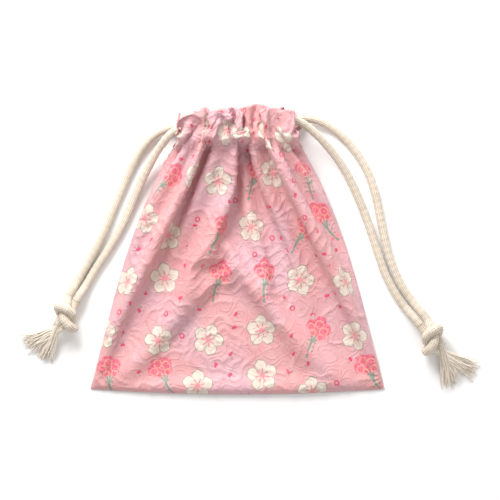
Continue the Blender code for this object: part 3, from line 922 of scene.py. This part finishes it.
def tiedKnot():  # two strands in millimetres, pulled along Z: one wraps round both and is tucked under itself
    gap = knotFacts["strand"]
    first = [(-2.4, 0, 34), (-2.4, 0, 20), (-2.4, 0, 8), (-2.2, 0, 0), (-2.0, -1.0, -6)]
    for k in range(knotFacts["wrapPoints"]):
        angle = math.radians(knotFacts["wrapFrom"] + knotFacts["wrapStep"] * k)
        x, y = knotFacts["wrapRadius"] * math.cos(angle), knotFacts["wrapRadius"] * math.sin(angle)
        first.append((x, y, knotFacts["wrapStart"] + knotFacts["wrapRise"] * k))
    first += [(4.6, 3.0, 2.0), (3.0, 3.0, -6.0), (1.5, 2.0, -13), (0.8, 0.5, -20), (0.5, 0, -34)]
    second = [(2.4, 0, 34), (2.4, 0, 6), (2.0, 0.5, 0), (2.0, -1, -8), (-2.4, 0, -20), (-2.4, 0, -34)]
    count = knotFacts["count"]
    strands, steps = [], []
    for route in (first, second):
        route = np.array(route, float)
        run = distanceAlong(route)
        places = np.linspace(0, run[-1], count)
        strands.append(np.stack([np.interp(places, run, route[:, k]) for k in range(3)], 1))
        steps.append(run[-1] / (count - 1))
    points = np.array(strands)
    rest = np.array(steps)[:, None, None]
    rope = np.arange(2 * count) // count
    order = np.arange(2 * count) % count
    skip = math.ceil(gap * knotFacts["neighbours"] / steps[0])
    sameRope = rope[:, None] == rope[None]
    near = sameRope & ((abs(order[:, None] - order[None]) <= skip) | (rope[:, None] == 1))
    for step in range(knotFacts["steps"]):
        grow = knotFacts["pull"] if step < knotFacts["pullSteps"] else 0
        points[0, 0] = (-knotFacts["apartIn"], 0, points[0, 0, 2] + grow)
        points[1, 0] = (knotFacts["apartIn"], 0, points[1, 0, 2])
        points[0, -1] = (knotFacts["apartOut"], 0, points[0, -1, 2] - grow)
        points[1, -1] = (-knotFacts["apartOut"], 0, points[1, -1, 2])
        for _ in range(6):
            between = points[:, 1:] - points[:, :-1]
            length = np.linalg.norm(between, axis=2, keepdims=True)
            fix = between * (1 - rest / np.maximum(length, 1e-6)) * 0.5
            points[:, 1:-1] += fix[:, 1:] - fix[:, :-1]
        bend = 0.5 * (points[:, 2:] + points[:, :-2]) - points[:, 1:-1]
        points[:, 1:-1] += knotFacts["straighten"] * bend
        flat = points.reshape(-1, 3)
        for _ in range(2):
            apart = flat[:, None] - flat[None]
            distance = np.sqrt((apart**2).sum(2)) + 1e-9
            hit = (distance < gap) & ~near
            push = apart / distance[..., None] * (gap - distance)[..., None] * 0.5
            push = np.where(hit[..., None], push, 0).sum(1)
            flat = flat + 0.7 * push / np.sqrt(np.maximum(hit.sum(1), 1))[:, None]
        points = flat.reshape(2, count, 3)
    return points


# ---- frayed ends: loose yarns fanned out, by Geometry Nodes
fray = {
    "yarns": 46, "points": 16, "rootRadius": 1.9 * mm, "tipSpread": 6.0 * mm, "tipHeight": 2.6 * mm,
    "yarnRadius": 0.46 * mm, "tipRadius": 0.2 * mm, "wave": 0.6 * mm, "reach": (0.86, 1.16), "sides": 6,
    "tipZ": 1.9, "insideKnot": 1.5 * mm, "seeds": {"left": (11, 18), "right": (51, 58)},
}


def yarnTree(finish):
    w, given = shapeTree("frayedYarns", {
        "Geometry": "Geometry", "Root": "Vector", "Tip": "Vector", "Across": "Vector", "Seed": "Int",
        "Yarns": "Int", "Root Radius": "Float", "Tip Spread": "Float", "Tip Height": "Float",
        "Wave": "Float", "Yarn Radius": "Float", "Tip Radius": "Float",
    })
    cloud = w.node("GeometryNodePoints", None, {"Count": given["Yarns"]})
    ranges = {
        "spin": (0.0, fullTurn), "out": (0.0, 1.0), "reach": fray["reach"], "phase": (0.0, fullTurn),
        "lift": (0.0, 1.0), "bend": (-1.0, 1.0),
    }
    for k, (name, (low, high)) in enumerate(ranges.items()):  # each yarn's own random values
        sockets = {2: low, 3: high, 8: given["Seed"] + k}
        chance = w.node("FunctionNodeRandomValue", {"data_type": "FLOAT"}, sockets, 1)
        settings = {"data_type": "FLOAT", "domain": "POINT"}
        cloud = w.node("GeometryNodeStoreNamedAttribute", settings, {0: cloud, "Name": name, "Value": chance})
    line = w.node("GeometryNodeCurvePrimitiveLine")
    line = w.node("GeometryNodeResampleCurve", None, {"Curve": line, "Count": fray["points"]})
    copies = w.node("GeometryNodeInstanceOnPoints", None, {"Points": cloud, "Instance": line})
    yarns = w.node("GeometryNodeRealizeInstances", None, {0: copies})
    settings = {"data_type": "FLOAT"}
    own = {name: w.node("GeometryNodeInputNamedAttribute", settings, {"Name": name}) for name in ranges}
    t = w.node("GeometryNodeSplineParameter")
    out = own["out"].root()
    rootOut = out * given["Root Radius"]
    side, high = own["spin"].cosine(), own["spin"].sine()
    open_ = t ** 1.55
    fan = side * rootOut * (1 - open_) + side * out * given["Tip Spread"] * open_
    fan = fan + (t * 7.0 + own["phase"]).sine() * given["Wave"] * t
    fan = fan + own["bend"] * given["Wave"] * 1.6 * open_
    height = high * rootOut * (1 - open_) + (own["lift"] - 0.5) * given["Tip Height"] * open_
    height = height + (t * 5.0 + own["phase"] * 2.0).sine() * given["Wave"] * 0.35 * t
    along = given["Tip"].vector("SUBTRACT", given["Root"])
    spot = given["Root"].vector("ADD", along.scaled(t * own["reach"]))
    spot = spot.vector("ADD", given["Across"].scaled(fan))
    rested = (spot.part(2) + height).orMore(given["Yarn Radius"] * 1.1)  # no yarn goes into the table
    spot = spot.part(0).joined(spot.part(1), rested)
    moved = w.node("GeometryNodeSetPosition", None, {"Geometry": yarns, "Position": spot})
    thick = given["Yarn Radius"] * (1 - t ** 2.2) + given["Tip Radius"] * t ** 2.2
    profile = w.node("GeometryNodeCurvePrimitiveCircle", None, {"Resolution": fray["sides"], "Radius": 1.0})
    sized = w.node("GeometryNodeSetCurveRadius", None, {"Curve": moved, "Radius": thick})
    sockets = {"Curve": sized, "Profile Curve": profile, "Fill Caps": True}
    tubes = w.node("GeometryNodeCurveToMesh", None, sockets)
    if "Scale" in tubes.socket.node.inputs:
        w.feed(tubes.socket.node, {"Scale": w.node("GeometryNodeInputRadius")})
    return sendOut(w, tubes, finish)


def frayedEnd(name, tree, root, tip, seed):
    along = Vector(tip - root)
    across = Vector((-along.y, along.x, 0)).normalized()
    wanted = {
        "Root": tuple(root), "Tip": tuple(tip), "Across": tuple(across), "Seed": seed, "Yarns": fray["yarns"],
        "Root Radius": fray["rootRadius"], "Tip Spread": fray["tipSpread"], "Tip Height": fray["tipHeight"],
        "Wave": fray["wave"], "Yarn Radius": fray["yarnRadius"], "Tip Radius": fray["tipRadius"],
    }
    return grown(name, [tuple(root)], [], tree, wanted)


def yarnMaterial(name):
    made, w, shader = blankMaterial(name)
    spot = w.node("ShaderNodeTexCoord", None, None, 3)
    colour = w.tint(spot.noise(700.0, 3.0).step(0.35, 0.8) * 0.35, cotton["light"], cotton["shade"])
    fibres = spot.noise(3500.0, 2.0)
    sockets = {"Strength": cotton["bumpStrength"], "Distance": cotton["looseBump"], "Height": fibres}
    w.feed(shader, {
        "Base Color": colour, "Normal": w.node("ShaderNodeBump", None, sockets),
        "Roughness": cotton["roughness"], "Sheen Weight": cotton["sheen"],
    })
    return made


def turnedKnot(facts, tied, flip):  # the strands laid in place, and the way back from them to the pouch
    middle = place((*facts["middle"], knotFacts["height"]))
    ahead = Vector(place((*facts["runsTo"], knotFacts["height"])) - middle).normalized()
    axis = np.array(-ahead)
    up = np.array([0.0, 0.0, 1.0])
    across = np.cross(-up, axis) * flip
    laid = tied[..., :1] * across + tied[..., 1:2] * -up + tied[..., 2:] * axis
    return laid * mm + middle, axis


def knotStrand(strand, heights, ends):  # the stretch in the knot, led to the nearest end of the cord's runs
    keep = np.flatnonzero(abs(heights) <= knotFacts["reach"])
    line = strand[keep[0] : keep[-1] + 1]
    entry = min(ends, key=lambda end: np.linalg.norm(end - line[0]))
    fade = smooth(0.0, knotFacts["reach"], heights[keep[0] : keep[-1] + 1])[:, None]
    line = evenly(line + (entry - line[0]) * fade, cordSize["ringStep"])
    fromEnds = np.minimum(np.linalg.norm(line - line[0], axis=1), np.linalg.norm(line - line[-1], axis=1))
    fat = smooth(0, knotFacts["fattens"], fromEnds)
    return line, cordSize["diameter"] / 2 * (1 + (knotFacts["fatness"] - 1) * fat)


def makeCords():
    finish = cottonMaterial("braidedCotton")
    tree = yarnTree(yarnMaterial("looseYarn"))
    tied = tiedKnot()
    print("knots tied")
    for side, route in (("left", leftRoute), ("right", rightRoute)):
        half, low = cordSize["casingHalf"], cordSize["casingFrom"]
        inside = [k for k, p in enumerate(route) if abs(p[0]) <= half and p[1] > low]
        leaveBack, leaveFront = inside[0], inside[-1]
        runs = {
            "back": [place(p) for p in reversed(route[: leaveBack + 1])],
            "front": [place(p) for p in route[leaveFront:]],
        }
        hidden = curveThrough([place(p) for p in route[leaveBack : leaveFront + 1]], cordSize["ringStep"])
        start, share = cordSize["turnFrom"], cordSize["turnShare"]  # the turn is drawn in under the cloth
        drawnIn = [min(abs(x), start + share * (abs(x) - start)) for x in hidden[:, 0]]
        hidden[:, 0] = np.copysign(drawnIn, hidden[:, 0])
        strands, axis = turnedKnot(knotPlaces[side], tied, -1 if side == "right" else 1)
        strandEnds = [runs["back"][-1], runs["front"][-1]]
        pieces = []
        for k, letter in enumerate("ab"):
            line, radius = knotStrand(strands[k], tied[k, :, 2], strandEnds)
            pieces.append(braidedTube(f"{side}_knot_strand_{letter}", line, finish, radius))
            tip = place((*knotPlaces[side]["ends"][k], fray["tipZ"]))
            root = line[-1] + axis * fray["insideKnot"]
            pieces.append(frayedEnd(f"{side}_frayed_tail_{letter}", tree, root, tip, fray["seeds"][side][k]))
        nodes = (f"{side}_knot", f"{side}_frayed_end_a", f"{side}_knot", f"{side}_frayed_end_b")
        for piece, node in zip(pieces, nodes):
            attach(piece, "root")
            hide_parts(node)
        sleeve = braidedTube(f"{side}_cord_in_casing", hidden, finish)
        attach(sleeve, "root")
        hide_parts(f"{side}_cord")
        for name, points in runs.items():
            line = curveThrough(points, cordSize["ringStep"])
            strand = braidedTube(f"{side}_cord_{name}_strand", line, finish)
            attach(strand, "root")
            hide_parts(f"{side}_cord")


setCamera()
setStudio()
makeCords()
panels = makePouch()
makeStitches(panels)
